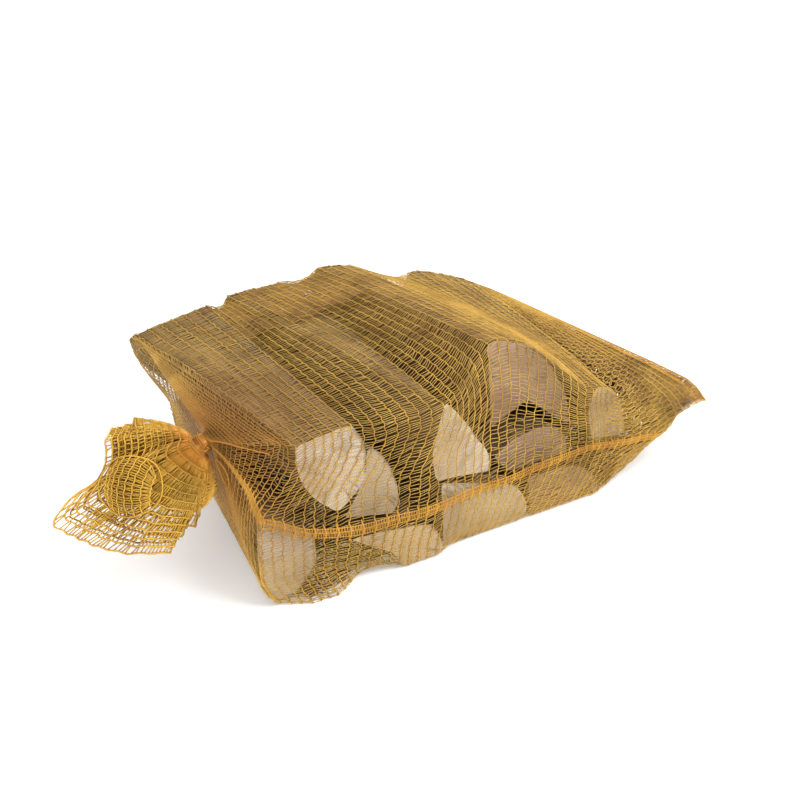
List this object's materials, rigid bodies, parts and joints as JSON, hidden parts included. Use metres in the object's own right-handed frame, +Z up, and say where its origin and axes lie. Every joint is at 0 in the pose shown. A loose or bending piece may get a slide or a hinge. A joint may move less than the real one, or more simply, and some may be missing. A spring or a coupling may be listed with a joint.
{
  "type": "firewood bundle",
  "caption": "Bundle of split firewood logs lying side by side in a knitted net bag, gathered and tied at one end with a flared frill.",
  "frame": {"origin": "centre of the bounding box, at the level of the ground it lies on", "axes": "+X along the row of logs towards the bag's sewn end, +Y along the logs to the back, +Z up"},
  "size_m": [0.6923, 0.3759, 0.204],
  "materials": {
    "split_wood": "rough split and sawn wood",
    "net_thread": "glossy knitted plastic thread",
    "tie_cord": "twisted cord"
  },
  "bodies": {
    "root": {"log_top_left": "split_wood", "log_top_second": "split_wood", "log_top_third": "split_wood", "log_top_right": "split_wood", "log_middle_left": "split_wood", "log_middle_right": "split_wood", "log_bottom_left": "split_wood", "log_bottom_second": "split_wood", "log_bottom_third": "split_wood", "log_bottom_right": "split_wood", "log_hidden_right": "split_wood", "net_bag": "net_thread", "neck_tie": "tie_cord"}
  },
  "joints": []
}
